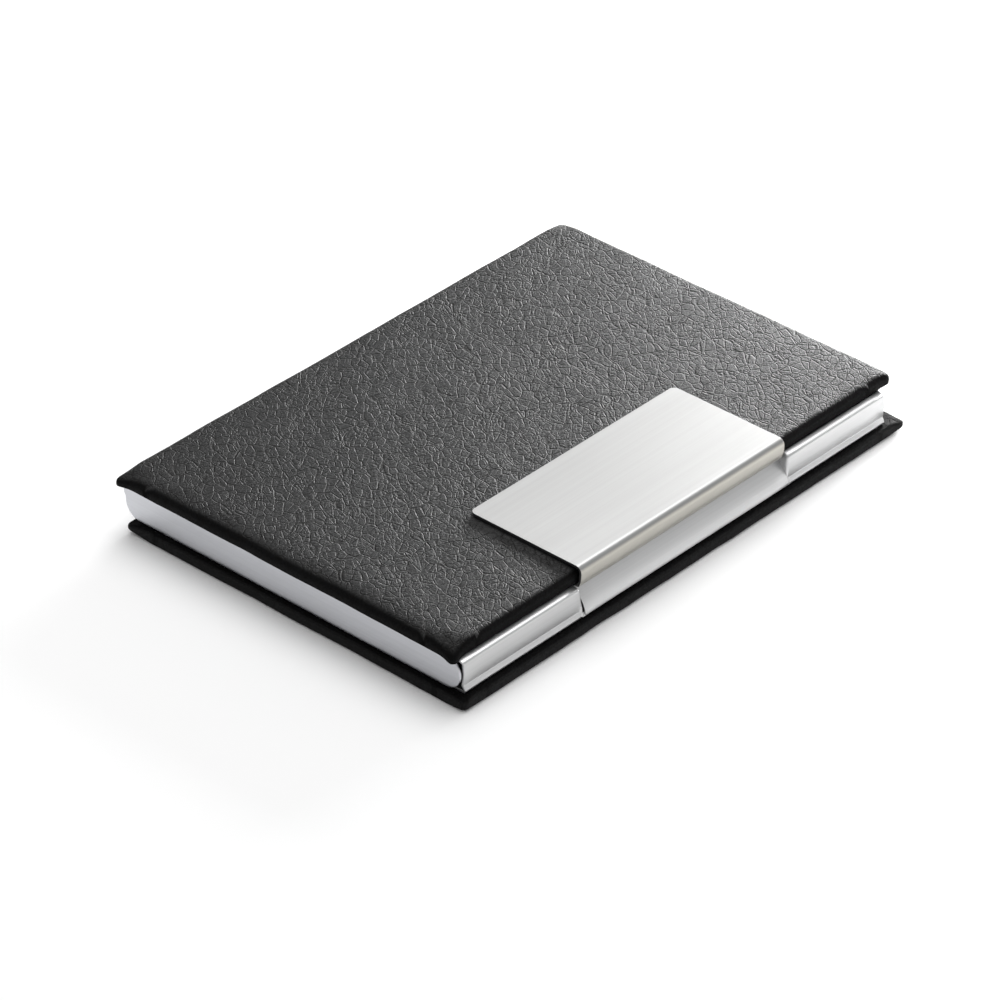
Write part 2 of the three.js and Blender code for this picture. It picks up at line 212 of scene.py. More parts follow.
def wrapped_sheet(xs, ys, half_x, half_y, corner, profile):
    """A closed form: a grid, rings along the profile of (inset, depth), and a grid on the last
    ring. Returns points (x, y, depth), faces and each point's inset."""
    first, last = profile[0], profile[-1]
    nx, ny = len(xs), len(ys)
    points, insets, faces = [], [], []

    def grid(inset, depth):
        start = len(points)
        sx, sy = (half_x - inset) / xs[-1], (half_y - inset) / ys[-1]
        for y in ys:
            for x in xs:
                points.append((x * sx, y * sy, depth))
                insets.append(min(half_x - abs(x * sx), half_y - abs(y * sy)))
        index = np.arange(nx * ny).reshape(ny, nx) + start
        border = [*index[0, :-1], *index[:-1, -1], *index[-1, :0:-1], *index[:0:-1, 0]]
        for j in range(ny - 1):
            for i in range(nx - 1):
                low, high = index[j], index[j + 1]
                faces.append((low[i], low[i + 1], high[i + 1], high[i]))
        return border

    def ring(inset, depth):
        start = len(points)
        for x, y in ring_points(xs, ys, inset, corner - inset, half_x, half_y):
            points.append((x, y, depth))
            insets.append(inset)
        return list(range(start, len(points)))

    rings = [grid(*first)]
    rings += [ring(*p) for p in profile[1:-1]]
    rings.append(grid(*last))
    for a, b in zip(rings, rings[1:]):
        for i in range(len(a)):
            k = (i + 1) % len(a)
            faces.append((a[i], a[k], b[k], b[i]))
    faces = [tuple(int(v) for v in f) for f in faces]
    return np.array(points, float), faces, np.array(insets)


def skin_profile(thickness, edge, rim, crown):
    """Out over the face, round the edge, in along the turned-in border and back inside."""
    line = []
    for inset in (FACE_INSET, 5.5, 4.6, 3.8, 3.1, 2.5, 2.0, 1.6):
        if inset > edge:
            line.append((inset, crown * (1 - inset / CROWN_WIDTH) ** 2))
    drop = crown * (1 - edge / CROWN_WIDTH) ** 2
    steps = 8
    for i in range(steps + 1):
        a = math.pi / 2 * i / steps
        line.append((edge - edge * math.sin(a), drop + (edge - drop) * (1 - math.cos(a))))
    line.append((0.0, (edge + thickness - rim) / 2))
    for i in range(6):
        a = math.pi / 2 * i / 5
        line.append((rim - rim * math.cos(a), thickness - rim + rim * math.sin(a)))
    for inset in (1.0, 1.6, 2.4, 3.5, 5.0, TURN_IN):
        line.append((inset, thickness))
    line.append((TURN_IN, thickness - LEATHER))
    for inset in (4.5, 2.0, LEATHER):
        line.append((inset, thickness - LEATHER))
    hollow = max(edge - LEATHER, 0.02)
    for i in (3, 2, 1, 0):
        a = math.pi / 2 * i / 3
        inset = LEATHER + hollow * (1 - math.sin(a))
        line.append((inset, LEATHER + drop + hollow * (1 - math.cos(a))))
    line.append((FACE_INSET, LEATHER + crown * 0.02))
    return line


def pull_corners(points, half_x, half_y, ears):
    """Draws the corners out to soft points. Z is the depth from the outer face."""
    shaped = points.copy()
    for (sx, sy), ear in ears.items():
        away = np.hypot(half_x - sx * points[:, 0], half_y - sy * points[:, 1])
        w = np.clip(1 - away / ear["reach"], 0, 1)
        pinch = ear["pinch"] * w ** ear["power"]
        shaped[:, 2] += pinch * (ear["depth"] - points[:, 2])
        near = np.exp(-((away / ear["tip"]) ** 2))
        shaped[:, 0] += sx * ear["out"][0] * near
        shaped[:, 1] += sy * ear["out"][1] * near
        shaped[:, 2] += ear["sink"] * near
        angle = np.arctan2(half_y - sy * points[:, 1] + 0.2, half_x - sx * points[:, 0] + 0.2)
        folds = np.sin(angle * ear["folds"] + ear["phase"]) * ear["fold"]
        shaped[:, 2] += folds * smoothstep(w * 1.6) * smoothstep(away / 0.8)
    return shaped


def leather_cover(name, node, material, edge, rim, corner, ears, face_up, crown=0.0, slump=0.0):
    """A covering wrapped round its board. `slump` is how far its left edge has sunk."""
    low, high = span(node)
    half_x, half_y = (high[0] - low[0]) / 2, (high[1] - low[1]) / 2
    centre = (low + high) / 2
    thickness = high[2] - low[2]
    xs = stations(half_x - FACE_INSET, FINE_STEP, COARSE_STEP, FINE_WIDTH)
    ys = stations(half_y - FACE_INSET, FINE_STEP, COARSE_STEP, FINE_WIDTH)
    profile = skin_profile(thickness, edge, rim, crown)
    points, faces, insets = wrapped_sheet(xs, ys, half_x, half_y, corner, profile)
    depth = points[:, 2].copy()
    outer = smoothstep((thickness - LEATHER - depth) / 0.6)
    level = points * (1, 1, 0.3)
    soft = sum(ripple(level, size, seed) * height for size, seed, height in FACE_WAVES)
    points[:, 2] += soft * outer * smoothstep(depth / 0.3 + 0.4)
    points[:, 2] += slump * outer * np.clip(1 - (half_x + points[:, 0]) / SLUMP_WIDTH, 0, 1) ** 2
    side = smoothstep(1 - insets / 1.4)
    wave = 0
    for size, seed, height, squash in SIDE_WAVES:
        wave = wave + ripple(points * (1, 1, squash), size, seed) * height
    grow = 1 + (wave * side)[:, None] / np.maximum(np.abs(points[:, :2]), 8)
    points[:, :2] *= grow
    shaped = pull_corners(points, half_x, half_y, ears)
    z = high[2] - shaped[:, 2] if face_up else low[2] + np.maximum(shaped[:, 2], 0)
    placed = np.column_stack([shaped[:, 0] + centre[0], shaped[:, 1] + centre[1], z])
    obj = new_object(name, placed, faces, material)
    outward(obj)
    return obj


# ------------------------------------------------------------------ bent steel sheets


def sheet_object(name, rows, columns, place, present, material, round_edge=0.07):
    """A steel sheet on a grid of rows by columns. place(row, column) gives a point of its middle
    surface, and present(row, column) says whether the cell after that row and column is there."""
    points, index, faces = [], {}, []

    def corner(r, c):
        if (r, c) not in index:
            index[r, c] = len(points)
            points.append(place(r, c))
        return index[r, c]

    for r in range(rows - 1):
        for c in range(columns - 1):
            if present(r, c):
                cell = ((r, c), (r, c + 1), (r + 1, c + 1), (r + 1, c))
                faces.append(tuple(corner(*at) for at in cell))
    obj = new_object(name, points, faces, material)
    solidify = obj.modifiers.new("thickness", "SOLIDIFY")
    solidify.thickness = SHEET * MM
    solidify.offset = 0
    solidify.use_even_offset = True
    bevel = obj.modifiers.new("rounding", "BEVEL")
    bevel.width = round_edge * MM
    bevel.segments = 2
    bevel.limit_method = "ANGLE"
    bevel.angle_limit = math.radians(50)
    bake_modifiers(obj)
    outward(obj)
    for polygon in obj.data.polygons:
        polygon.use_smooth = True
    return obj


def arc(cy, cz, radius, start, end, step=math.radians(7)):
    """Points of an arc in Y and Z."""
    count = max(1, math.ceil(abs(end - start) / step))
    angles = np.linspace(start, end, count + 1)
    return [(cy + radius * math.cos(a), cz + radius * math.sin(a)) for a in angles]


def catmull(knots, per_span):
    """A smooth line through the knots."""
    knots = [np.array(k, float) for k in knots]
    padded = [2 * knots[0] - knots[1], *knots, 2 * knots[-1] - knots[-2]]
    line = []
    for i in range(1, len(padded) - 2):
        a, b, c, d = padded[i - 1 : i + 3]
        for k in range(per_span):
            t = k / per_span
            square, cube = 2 * a - 5 * b + 4 * c - d, 3 * b - a - 3 * c + d
            line.append(0.5 * (2 * b + (c - a) * t + square * t**2 + cube * t**3))
    line.append(knots[-1])
    return [tuple(p) for p in line]


def between(a, b, count):
    """Points from a to b in that many even steps."""
    return [tuple(np.array(a) + (np.array(b) - np.array(a)) * i / count) for i in range(count + 1)]


def fillet(before, corner, after, radius, steps=5):
    """Points of a rounded bend at corner."""
    p, a, b = (np.array(v, float) for v in (corner, before, after))
    u, v = (a - p) / np.linalg.norm(a - p), (b - p) / np.linalg.norm(b - p)
    half = math.acos(np.clip(u @ v, -1, 1)) / 2
    reach = radius / math.tan(half)
    centre = p + (u + v) / np.linalg.norm(u + v) * radius / math.sin(half)
    start, end = p + u * reach - centre, p + v * reach - centre
    line = []
    for i in range(steps + 1):
        mix = start * (1 - i / steps) + end * i / steps
        line.append(tuple(centre + mix / np.linalg.norm(mix) * radius))
    return line


base_low, _ = span("base_leather")
lid_low, lid_high = span("lid_leather")
shell_low, _ = span("base_shell")
roof_low, roof_high = span("lid_shell")
pin_low, pin_high = span("hinge_pin")

PIVOT_Y = (pin_low[1] + pin_high[1]) / 2
PIVOT_Z = (pin_low[2] + pin_high[2]) / 2
CURL = (pin_high[2] - pin_low[2]) / 2 + PIN_ROOM + SHEET / 2
BARREL = CURL + SHEET / 2
BOX_MIDDLE = (roof_low[0] + roof_high[0]) / 2
FLAP_INNER = (roof_high[0] - roof_low[0]) / 2 - SHEET
FLOOR_MID = shell_low[2] + SHEET / 2
FOOT_Y = base_low[1] + FOOT_INSET
ROOF_TOP = lid_low[2] - ROOF_GAP
ROOF_MID = ROOF_TOP - SHEET / 2
WALL_TOP = lid_low[2] - WALL_GAP - SHEET / 2
REAR_WALL = PIVOT_Y - CURL

PITCH = (2 * FLAP_INNER + KNUCKLE_GAP) / KNUCKLES
knuckles = [
    (BOX_MIDDLE - FLAP_INNER + i * PITCH, BOX_MIDDLE - FLAP_INNER + (i + 1) * PITCH - KNUCKLE_GAP)
    for i in range(KNUCKLES)
]


def split_columns(cuts):
    """Column places between the cuts, and the middle of each gap between two of them."""
    columns = []
    for a, b in zip(cuts, cuts[1:]):
        columns += list(np.linspace(a, b, max(1, round((b - a) / COLUMN_WIDTH)) + 1)[:-1])
    columns.append(cuts[-1])
    return columns, [(a + b) / 2 for a, b in zip(columns, columns[1:])]


def base_box(material):
    """Floor, front wall with its tongue, rear wall and two knuckles, all of one sheet."""
    foot = (FOOT_Y, FLOOR_MID)
    crease = (FOOT_Y + CREASE[0], FLOOR_MID + CREASE[1])
    share = SLOT_FOOT / CREASE[1]
    strip_top = (FOOT_Y + CREASE[0] * share, FLOOR_MID + SLOT_FOOT)
    back = (REAR_WALL, FLOOR_MID)
    stub = (REAR_WALL, PIVOT_Z - BARREL - 0.15)
    curl = arc(PIVOT_Y, PIVOT_Z, CURL, -0.64 * math.pi, math.pi)
    rear = between(stub, (REAR_WALL, FLOOR_MID + 0.5), 3)
    floor = fillet(stub, back, foot, radius=0.35)
    floor += between((REAR_WALL - 0.5, FLOOR_MID), (FOOT_Y + 0.8, FLOOR_MID), 8)
    bend = fillet((FOOT_Y + 1, FLOOR_MID), foot, strip_top, radius=0.22)
    knots = [crease, (FOOT_Y + WALL_MIDDLE[0], FLOOR_MID + WALL_MIDDLE[1])]
    knots += [(FOOT_Y + y, WALL_TOP + z) for y, z in WALL_FOLD]
    wall = catmull(knots, per_span=9)
    flange = between(strip_top, crease, 5)[:-1]
    wall_rows = flange + wall
    count = len(wall_rows)
    tongue_rows = []
    for i in range(count):
        t = (SLOT_FOOT + (TONGUE_HEIGHT - SLOT_FOOT) * i / (count - 1)) / TONGUE_HEIGHT
        tongue_rows.append((FOOT_Y + TONGUE_LEAN * t**TONGUE_CURVE, FLOOR_MID + TONGUE_HEIGHT * t))
    shared = curl + rear + floor + bend
    strip = len(shared)
    rows = strip + count
    right = 2 * BOX_MIDDLE - shell_low[0]
    cuts = [shell_low[0], -SLOT_HALF, TONGUE_LEFT, TONGUE_RIGHT, SLOT_HALF, right]
    turned = {}
    ends = (TONGUE_LEFT - GAP_LEFT, TONGUE_RIGHT + GAP_RIGHT)
    for slot_edge, end in zip((-SLOT_HALF, SLOT_HALF), ends):
        for reach, share in SLOT_TURN:
            turned[slot_edge + (end - slot_edge) * reach] = share
    cuts += list(turned)
    cuts += [x for i in (1, 3) for x in knuckles[i]]
    columns, middles = split_columns(sorted(set(cuts)))

    def place(r, c):
        x = columns[c]
        if r < strip:
            y, z = shared[r]
        elif TONGUE_LEFT - 0.01 < x < TONGUE_RIGHT + 0.01:
            y, z = tongue_rows[r - strip]
        elif x in turned:
            ahead, behind = np.array(wall_rows[r - strip]), np.array(tongue_rows[r - strip])
            y, z = ahead + (behind - ahead) * turned[x]
        else:
            y, z = wall_rows[r - strip]
        return x, y, z

    def present(r, c):
        x = middles[c]
        if r < len(curl):
            return any(a < x < b for a, b in (knuckles[1], knuckles[3]))
        if r >= strip:
            return not (ends[0] < x < TONGUE_LEFT or TONGUE_RIGHT < x < ends[1])
        return True

    return sheet_object("steel_base", rows, len(columns), place, present, material)


def flap_outline():
    """Outline of a short side wall in Y and Z: rounded in front and at its lower back corner."""
    low = roof_low[2]
    back = lid_high[1] - FLAP_INSET
    centre = (roof_low[1] + FLAP_RADIUS, low + FLAP_RADIUS)
    top = math.pi - math.asin(min(1, (ROOF_TOP - centre[1]) / FLAP_RADIUS))
    front = centre[0] + FLAP_RADIUS * math.cos(top)
    back_centre = (back - FLAP_BACK_RADIUS, low + FLAP_BACK_RADIUS)
    step = math.radians(6)
    outline = [(back, ROOF_TOP)]
    outline += between((back - 0.6, ROOF_TOP), (front + 0.6, ROOF_TOP), 1)
    outline += arc(*centre, FLAP_RADIUS, top, 1.5 * math.pi, step)
    outline += arc(*back_centre, FLAP_BACK_RADIUS, -math.pi / 2, 0, step)
    return outline


def plate_between(outline, x0, x1, ease):
    """A flat plate with that outline in Y and Z, its rim rounded by `ease`."""
    n = len(outline)
    middle = np.mean(outline, axis=0)
    normals = []
    for i in range(n):
        a, b = np.array(outline[i - 1]), np.array(outline[(i + 1) % n])
        d = (b - a) / np.linalg.norm(b - a)
        side = np.array([d[1], -d[0]])
        normals.append(side if side @ (np.array(outline[i]) - middle) > 0 else -side)
    loops = []
    for inset, x in (
        (3 * ease, x0),
        (ease, x0),
        (0.3 * ease, x0 + 0.3 * ease),
        (0, x0 + ease),
        (0, x1 - ease),
        (0.3 * ease, x1 - 0.3 * ease),
        (ease, x1),
        (3 * ease, x1),
    ):
        rim = [(x, p[0] - inset * m[0], p[1] - inset * m[1]) for p, m in zip(outline, normals)]
        loops.append(rim)
    points = [p for loop in loops for p in loop]
    faces = [tuple(range(n)), tuple(range(len(points) - 1, len(points) - n - 1, -1))]
    for k in range(len(loops) - 1):
        for i in range(n):
            j = (i + 1) % n
            faces.append((k * n + i, k * n + j, (k + 1) * n + j, (k + 1) * n + i))
    return points, faces


def lid_box(material):
    """Roof and three knuckles of one sheet, and the two short side walls."""
    plate_low, _ = span("nameplate")
    front = plate_low[1] + SHEET / 2 + PLATE_GRIP + 0.8
    back = REAR_WALL - SHEET / 2 - 0.3
    curl = arc(PIVOT_Y, PIVOT_Z, CURL, math.pi / 2, -1.05 * math.pi)
    roof = between((front, ROOF_MID), (back, ROOF_MID), 12)
    line = roof + between((back, ROOF_MID), (PIVOT_Y, ROOF_MID), 2)[1:-1] + curl
    columns, middles = split_columns(sorted({x for i in range(KNUCKLES) for x in knuckles[i]}))

    def place(r, c):
        return columns[c], *line[r]

    def present(r, c):
        on_knuckle = any(knuckles[i][0] < middles[c] < knuckles[i][1] for i in (0, 2, 4))
        return r < len(roof) - 1 or on_knuckle

    obj = sheet_object("steel_lid", len(line), len(columns), place, present, material)
    bm = bmesh.new()
    bm.from_mesh(obj.data)
    for x0, x1 in ((roof_low[0], roof_low[0] + SHEET), (roof_high[0] - SHEET, roof_high[0])):
        points, faces = plate_between(flap_outline(), x0, x1, ease=0.09)
        verts = [bm.verts.new(tuple(c * MM for c in p)) for p in points]
        for face in faces:
            made = bm.faces.new([verts[i] for i in face])
            made.smooth = len(face) == 4
    bmesh.ops.recalc_face_normals(bm, faces=bm.faces)
    bm.to_mesh(obj.data)
    bm.free()
    return obj


def name_plate(material):
    """The plate folded round the lid's front edge, with its two back corners rounded."""
    low, high = span("nameplate")
    middle_z = high[2] - SHEET / 2
    front = low[1] + SHEET / 2
    leg = low[2] + SHEET / 2
    bend_y, bend_z = front + PLATE_BEND, middle_z - PLATE_BEND
    back = high[1]
    face = [(back - d, middle_z) for d in PLATE_CORNER_ROWS]
    face += between((back - 2, middle_z), (bend_y + 0.6, middle_z), 10)
    bow = arc(bend_y, bend_z, PLATE_BEND, math.pi / 2, math.pi)
    lip_from, lip_to = np.array((front, bend_z)), np.array((front + 0.3, leg + 0.32))
    control = np.array((front, leg + PLATE_BEND))
    lip = []
    for i in range(1, 10):
        t = i / 9
        lip.append(tuple((1 - t) ** 2 * lip_from + 2 * t * (1 - t) * control + t * t * lip_to))
    inner = fillet(lip_to, (front + 0.36, leg), (front + 1.5, leg), radius=0.25)
    inner += [(front + 1.2, leg), (front + PLATE_GRIP, leg)]
    line = face + bow + lip + inner
    half = (high[0] - low[0]) / 2
    columns = np.linspace(-1, 1, 25)

    def place(r, c):
        y, z = line[r]
        d = back - y
        rounding = r < len(PLATE_CORNER_ROWS) and d < 1
        shrink = 1 - math.sqrt(max(0, 1 - (1 - d) ** 2)) if rounding else 0
        return columns[c] * (half - shrink), y, z

    obj = sheet_object("plate", len(line), len(columns), place, lambda r, c: True, material, 0.05)
    obj.data.set_sharp_from_angle(angle=PLATE_SHARP)
    return obj


# ------------------------------------------------------------------ materials


def set_range(node, low, high, start, end):
    """Numbers of a Map Range node: low to high becomes start to end."""
    for key, number in zip(("From Min", "From Max", "To Min", "To Max"), (low, high, start, end)):
        node.inputs[key].default_value = number


GRAIN_TURN = math.radians(48)
GRAIN_DEPTH = 0.00014
# the grain's place is bent by noise: its waves per metre, and how far it bends the place, in metres
GRAIN_WARPS = ((95, 0.0020), (430, 0.0005), (1700, 0.0001))


class Nodes:
    """Short calls for building one node material. Scales are in waves or cells per metre."""

    def __init__(self, name):
        self.material = bpy.data.materials.new(name)
        self.material.use_nodes = True
        self.tree = self.material.node_tree
        self.tree.nodes.clear()
        self.shader = self.add("ShaderNodeBsdfPrincipled")
        output = self.add("ShaderNodeOutputMaterial")
        self.link(self.shader.outputs["BSDF"], output.inputs["Surface"])
        self.place = self.add("ShaderNodeTexCoord").outputs["Object"]

    def add(self, kind, **settings):
        node = self.tree.nodes.new(kind)
        for key, value in settings.items():
            setattr(node, key, value)
        return node

    def link(self, a, b):
        self.tree.links.new(a, b)

    def feed(self, socket, value):
        if isinstance(value, bpy.types.NodeSocket):
            self.link(value, socket)
        else:
            socket.default_value = value

    def math(self, operation, a, b=0.0, c=0.0):
        node = self.add("ShaderNodeMath", operation=operation)
        for socket, value in zip(node.inputs, (a, b, c)):
            self.feed(socket, value)
        return node.outputs[0]

    def facing(self):
        """The direction the surface faces on the piece at rest, as its three parts."""
        parts = self.add("ShaderNodeSeparateXYZ")
        self.link(self.add("ShaderNodeTexCoord").outputs["Normal"], parts.inputs[0])
        return parts.outputs

    def stretch(self, scale, source=None):
        node = self.add("ShaderNodeMapping")
        self.feed(node.inputs["Vector"], source or self.place)
        node.inputs["Scale"].default_value = scale
        return node.outputs[0]

    def noise(self, scale, source=None, detail=2.0, rough=0.5):
        node = self.add("ShaderNodeTexNoise")
        self.feed(node.inputs["Vector"], source or self.place)
        node.inputs["Scale"].default_value = scale
        node.inputs["Detail"].default_value = detail
        node.inputs["Roughness"].default_value = rough
        return node

    def cells(self, scale, source, feature="DISTANCE_TO_EDGE"):
        node = self.add("ShaderNodeTexVoronoi", feature=feature)
        self.feed(node.inputs["Vector"], source)
        node.inputs["Scale"].default_value = scale
        return node.outputs["Distance"]

    def remap(self, value, a, b, c=0.0, d=1.0, kind="SMOOTHSTEP"):
        node = self.add("ShaderNodeMapRange", interpolation_type=kind)
        self.feed(node.inputs["Value"], value)
        set_range(node, a, b, c, d)
        return node.outputs[0]

    def mix(self, share, a, b):
        node = self.add("ShaderNodeMix", data_type="RGBA")
        self.feed(node.inputs[0], share)
        for socket, value in ((node.inputs[6], a), (node.inputs[7], b)):
            self.feed(socket, value if isinstance(value, bpy.types.NodeSocket) else (*value, 1.0))
        return node.outputs[2]

    def bump(self, height, distance, strength=1.0, normal=None):
        node = self.add("ShaderNodeBump")
        self.feed(node.inputs["Height"], height)
        node.inputs["Distance"].default_value = distance
        node.inputs["Strength"].default_value = strength
        if normal is not None:
            self.link(normal, node.inputs["Normal"])
        return node.outputs[0]


def set_shader(shader, **values):
    for key, value in values.items():
        shader.inputs[key.replace("_", " ")].default_value = value


def leather_material(name, sheen, side_sheen, depth):
    """Grained leather, with its specular level where it lies flat and on its sides: painted light and
    shade, since that level sets how bright the top and the sides look.
    """
    n = Nodes(name)
    turned = n.add("ShaderNodeMapping")
    n.link(n.place, turned.inputs["Vector"])
    turned.inputs["Rotation"].default_value = (0, 0, GRAIN_TURN)
    grain_place = n.stretch((1.0, 0.72, 1.0), turned.outputs[0])
    warped = grain_place
    for scale, reach in GRAIN_WARPS:
        bend = n.noise(scale, grain_place, detail=1.0).outputs["Color"]
        warp = n.add("ShaderNodeVectorMath", operation="MULTIPLY_ADD")
        n.link(bend, warp.inputs[0])
        warp.inputs[1].default_value = (reach, reach, reach)
        n.link(warped, warp.inputs[2])
        warped = warp.outputs[0]
    flat = n.remap(n.math("ABSOLUTE", n.facing()["Z"]), 0.65, 0.994)
    big = n.remap(n.cells(710, warped), 0.0, 0.08, 1.0, 0.0)
    small = n.remap(n.cells(1200, warped), 0.0, 0.12, 1.0, 0.0)
    patches = n.remap(n.noise(230, detail=2.0).outputs["Fac"], 0.32, 0.54)
    fade = n.remap(n.noise(420, warped, detail=1.0).outputs["Fac"], 0.3, 0.55, 0.4, 1.0)
    contour = n.noise(210, warped, detail=0.0).outputs["Fac"]
    long_line = n.remap(n.math("ABSOLUTE", n.math("SUBTRACT", contour, 0.5)), 0.0, 0.022, 1.0, 0.0)
    pebble = n.noise(3300, warped, detail=3.0, rough=0.75).outputs["Fac"]
    swell = n.noise(620, warped, detail=1.0).outputs["Fac"]
    groove = n.math("MULTIPLY", big, fade)
    groove = n.math("MULTIPLY_ADD", n.math("MULTIPLY", small, patches), 0.5, groove)
    groove = n.math("MULTIPLY_ADD", long_line, 0.55, groove)
    groove = n.math("MINIMUM", groove, 1.2)
    height = n.math("MULTIPLY", groove, -0.6)
    height = n.math("MULTIPLY_ADD", pebble, 0.7, height)
    height = n.math("MULTIPLY_ADD", swell, 0.6, height)
    n.link(n.bump(n.math("MULTIPLY", height, flat), depth, 1.0), n.shader.inputs["Normal"])
    tone = n.remap(n.noise(60, detail=3.0).outputs["Fac"], 0.3, 0.7)
    hide = n.mix(tone, (0.0030, 0.0030, 0.0032), (0.0050, 0.0050, 0.0053))
    n.link(n.mix(groove, hide, (0.0040, 0.0036, 0.0034)), n.shader.inputs["Base Color"])
    worn = n.math("MULTIPLY_ADD", n.noise(2300, detail=2.0).outputs["Fac"], 0.14, 0.46)
    n.link(n.math("MULTIPLY_ADD", groove, 0.06, worn), n.shader.inputs["Roughness"])
    # painted light and shade: the specular level follows the facing, one level on the flat top and
    # another on the sides
    gloss = n.remap(flat, 0.0, 1.0, side_sheen, sheen)
    mottle = n.remap(pebble, 0.3, 0.7, 0.6, 1.42)
    n.link(n.math("MULTIPLY", gloss, mottle), n.shader.inputs["Specular IOR Level"])
    set_shader(n.shader, IOR=1.5)
    return n.material


def steel_material(name, tint, rough, streak, streak_depth, across=4200.0, lip=None):
    """Rolled or brushed steel, its lines along X. `streak` is how far its roughness varies,
    `streak_depth` how deep its lines are, `across` how many there are per metre, and `lip` the
    colour painted on the faces that look forward: painted light, lighter and warmer than the rest."""
    n = Nodes(name)
    facing = n.facing()
    sideways = n.remap(n.math("ABSOLUTE", facing["X"]), 0.6, 0.8)

    def drawn(length, width, detail, rough):
        """Streaks along X, and along Y on the faces that look along X."""
        along_x = n.noise(1.0, n.stretch((length, width, width)), detail, rough).outputs["Fac"]
        along_y = n.noise(1.0, n.stretch((width, length, width)), detail, rough).outputs["Fac"]
        mixed = n.add("ShaderNodeMix", data_type="FLOAT")
        n.link(sideways, mixed.inputs[0])
        n.link(along_x, mixed.inputs[2])
        n.link(along_y, mixed.inputs[3])
        return mixed.outputs[0]

    lines = drawn(28.0, across, 3.0, 0.6)
    long_lines = drawn(9.0, across * 0.3, 2.0, 0.5)
    both = n.math("MULTIPLY_ADD", long_lines, 0.6, lines)
    cloud = n.noise(45, detail=3.0).outputs["Fac"]
    n.link(n.bump(both, streak_depth, 1.0), n.shader.inputs["Normal"])
    spread = n.math("MULTIPLY_ADD", lines, streak, rough - streak / 2)
    n.link(n.math("MULTIPLY_ADD", cloud, 0.05, spread), n.shader.inputs["Roughness"])
    dark = tuple(c * 0.93 for c in tint)
    colour = n.mix(n.remap(both, 0.5, 1.1), dark, tint)
    if lip:
        # painted light: the faces that look forward, as on the plate's folded lip, get the lighter,
        # warmer lip colour
        forward = n.remap(n.math("MULTIPLY", facing["Y"], -1.0), 0.75, 0.95)
        colour = n.mix(forward, colour, lip)
    n.link(colour, n.shader.inputs["Base Color"])
    set_shader(n.shader, Metallic=1.0)
    return n.material


def plain_material(name, colour, rough, grain_scale, depth, metallic=0.0, contrast=0.8):
    """A plain stock with a fine grain. `contrast` is how bright its specks are beside the rest."""
    n = Nodes(name)
    grain = n.noise(grain_scale, detail=4.0, rough=0.6).outputs["Fac"]
    dark = tuple(c * contrast for c in colour)
    n.link(n.mix(n.remap(grain, 0.35, 0.65), dark, colour), n.shader.inputs["Base Color"])
    n.link(n.math("MULTIPLY_ADD", grain, 0.12, rough - 0.06), n.shader.inputs["Roughness"])
    n.link(n.bump(grain, depth, 1.0), n.shader.inputs["Normal"])
    set_shader(n.shader, Metallic=metallic)
    return n.material


black_leather = leather_material("black_leather", sheen=0.255, side_sheen=0.05, depth=GRAIN_DEPTH)
# painted shade: a copy of the same leather for the base cover, nearly without gloss on top and with a
# third of the grain depth, so that the base cover looks darker
shaded_leather_copy = leather_material("shaded_leather_copy", sheen=0.03, side_sheen=0.11, depth=GRAIN_DEPTH / 3)
wall_steel = steel_material(
    "wall_steel", (0.605, 0.607, 0.609), rough=0.36, streak=0.04, streak_depth=0.0000004
)
# painted shade: a darker, slightly bluer copy of the same polished steel, for the lid's sheet and its
# side walls
shaded_side_steel = steel_material(
    "shaded_side_steel", (0.56, 0.567, 0.594), rough=0.3, streak=0.04, streak_depth=0.0000003
)
plate_steel = steel_material(
    "brushed_plate",
    (0.375, 0.375, 0.372),
    rough=0.33,
    streak=0.16,
    streak_depth=0.0000035,
    across=5200.0,
    # painted light on the plate's forward-facing lip
    lip=(0.46, 0.445, 0.405),
)
board_stock = plain_material(
    "grey_board", (0.34, 0.32, 0.28), rough=0.9, grain_scale=2200, depth=0.00003
)
padding = plain_material("padding", (0.78, 0.77, 0.73), rough=0.95, grain_scale=3200, depth=0.00005)
bond = plain_material(
    "adhesive_sheet", (0.66, 0.56, 0.34), rough=0.7, grain_scale=1500, depth=0.00001
)
nickel = plain_material(
    "nickel",
    (0.62, 0.62, 0.63),
    rough=0.28,
    grain_scale=5200,
    depth=0.000004,
    metallic=1.0,
    contrast=0.92,
)

slot_looks = {
    "polished_steel": wall_steel,
    "brushed_plate": plate_steel,
    "black_leather": black_leather,
    "grey_board": board_stock,
    "adhesive": bond,
    "foam": padding,
    "magnet": nickel,
}
for row in frame["record"]["subparts"]:
    node = frame["nodes"][row["node"]]
    for material_slot in node.material_slots:
        material_slot.material = slot_looks[row["material_slot"]]

# ------------------------------------------------------------------ the pieces

# how a corner of a cover is drawn out: `pinch` is how far its two faces close on `depth`, `reach`
# how far from the corner that starts, `out`, `tip` and `sink` shape the point, the rest its folds
PLAIN_EAR = dict(
    pinch=0.75, reach=4.5, power=1.5, out=(0.4, 0.4), tip=1.1, sink=0.0, folds=6, phase=0.0, fold=0.05
)


def ear(depth, **changes):
    """A plain ear with these changes."""
    return {**PLAIN_EAR, "depth": depth, **changes}


